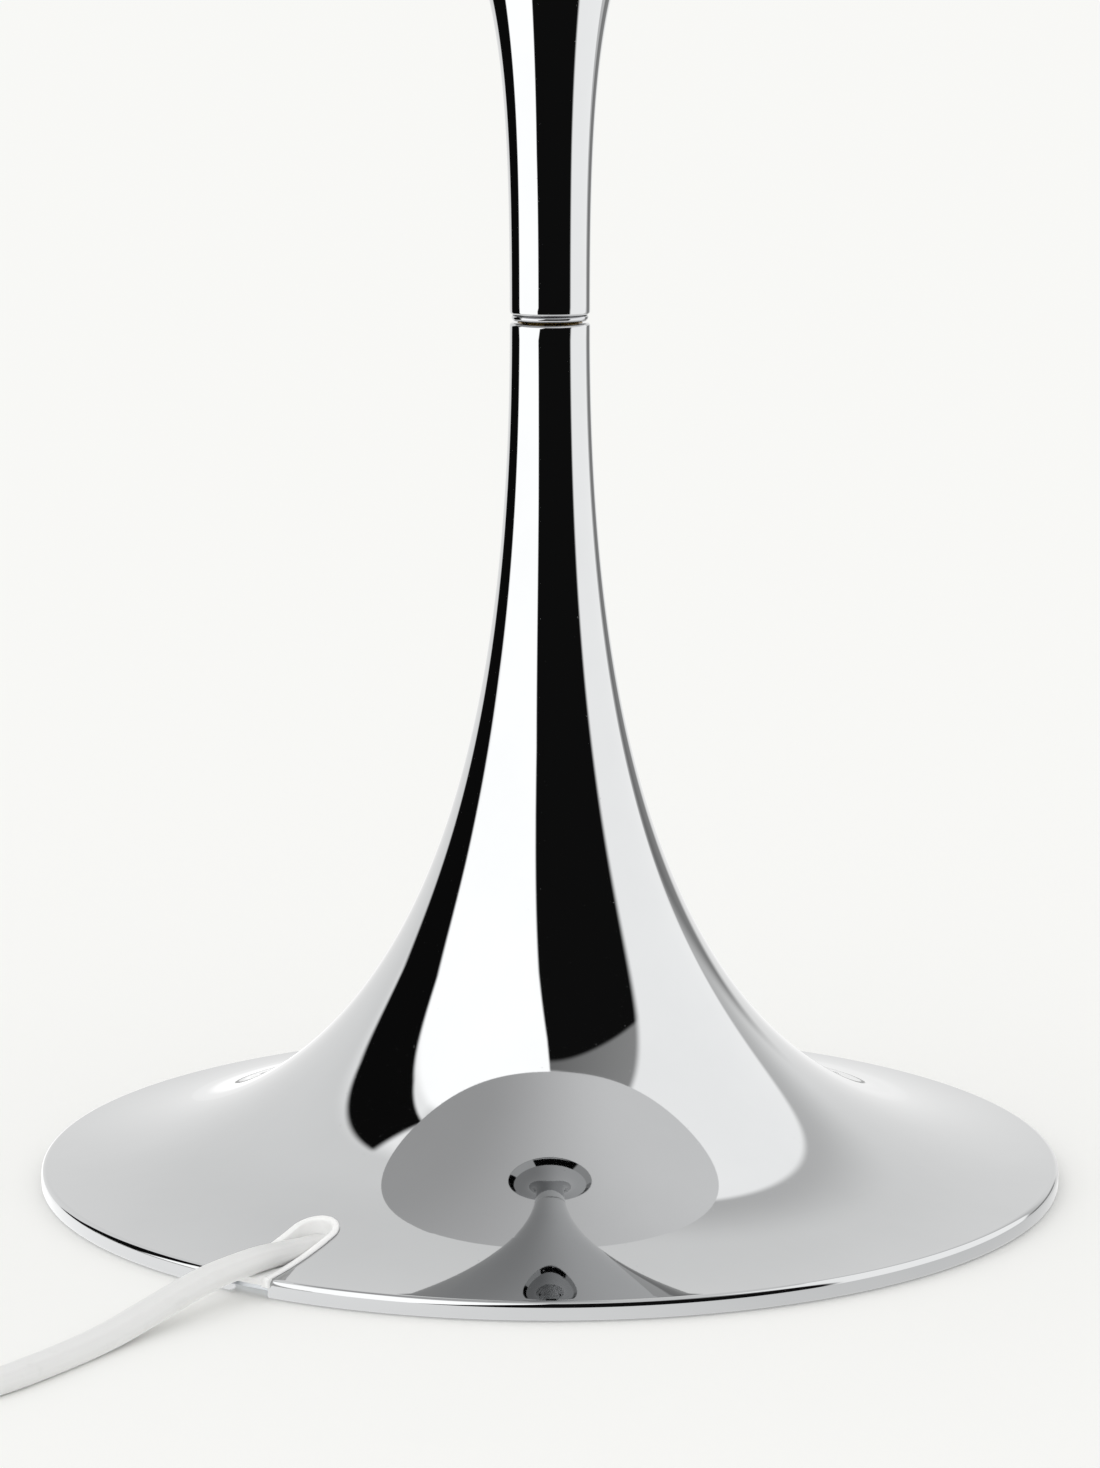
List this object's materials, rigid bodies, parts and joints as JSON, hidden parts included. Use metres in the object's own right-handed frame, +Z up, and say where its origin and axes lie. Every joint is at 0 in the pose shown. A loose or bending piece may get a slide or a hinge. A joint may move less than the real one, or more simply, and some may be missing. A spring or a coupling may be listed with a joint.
{
  "type": "trumpet lamp stand",
  "caption": "Chromed trumpet-shaped lamp stand: wide weighted foot, slim neck with a ring joint, flared upper stem on a threaded rod, flat white cord with rocker switch and plug.",
  "frame": {"origin": "on the axis of the stand, at the level of the table that it stands on", "axes": "+Z up along the stem; the cord leaves the foot between -X and -Y"},
  "size_m": [0.3365, 0.2637, 0.2713],
  "materials": {
    "felt": "dense dark felt",
    "zinc": "zinc-plated sheet steel",
    "iron": "raw casting",
    "chrome": "mirror-polished chrome plate",
    "ring_chrome": "turned and chrome plated",
    "plate_satin": "fine turned satin",
    "bush_white": "moulded, satin gloss",
    "screw_steel": "zinc plated",
    "clamp_nylon": "moulded nylon",
    "brass": "rolled thread",
    "washer_steel": "zinc plated",
    "core_brown": "insulation",
    "core_blue": "insulation",
    "cord_white": "extruded sheath",
    "tie_white": "hook and loop strap",
    "switch_white": "moulded, fine texture",
    "rocker_white": "moulded, polished",
    "pivot_steel": "drawn wire",
    "plug_white": "moulded",
    "sleeve_white": "moulded",
    "pin_nickel": "nickel-plated brass"
  },
  "bodies": {
    "root": {"felt_pad": "felt", "cover_plate": "zinc", "foot_weight": "iron", "foot_shell": "chrome", "cord_bush": "bush_white", "cover_screw_1": "screw_steel", "cover_screw_2": "screw_steel", "cover_screw_3": "screw_steel", "clamp_screw_1": "screw_steel", "clamp_screw_2": "screw_steel", "switch_screw_1": "screw_steel", "switch_screw_2": "screw_steel", "cord_clamp": "clamp_nylon", "tie_rod": "brass", "bottom_nut": "brass", "neck_bush": "brass", "lock_washer": "washer_steel", "weight_washer": "washer_steel", "live_core": "core_brown", "neutral_core": "core_blue", "cord_inner": "cord_white", "cord_run": "cord_white", "cord_link": "cord_white", "cord_coil": "cord_white", "cord_tail": "cord_white", "coil_tie": "tie_white", "switch_base": "switch_white", "switch_cover": "switch_white", "switch_pivot": "pivot_steel", "plug_relief": "plug_white", "plug_body": "plug_white", "pin_sleeve_1": "sleeve_white", "pin_sleeve_2": "sleeve_white", "plug_pin_1": "pin_nickel", "plug_pin_2": "pin_nickel"},
    "ring": {"seam_ring": "ring_chrome"},
    "stem": {"upper_stem": "chrome", "stem_bush": "brass", "bell_plate": "plate_satin", "bell_washer": "washer_steel", "bell_nut": "brass"},
    "rocker": {"switch_rocker": "rocker_white"}
  },
  "joints": [
    {"name": "stem_rise", "type": "slide", "parent": "root", "child": "ring", "axis": [0, 0, 1], "range_m": [0, 0.001]},
    {"name": "stem_twist", "type": "hinge", "parent": "ring", "child": "stem", "pos_m": [0, 0, 0.1696], "axis": [0, 0, 1], "range_deg": [0, 360]},
    {"name": "switch_tip", "type": "hinge", "parent": "root", "child": "rocker", "pos_m": [-0.16, -0.1517, 0.0105], "axis": [0, -1, 0], "range_deg": [0, 16]}
  ],
  "couplings": [
    {"joint": "stem_rise", "follows": "stem_twist", "m_per_rad": 0.000159}
  ]
}
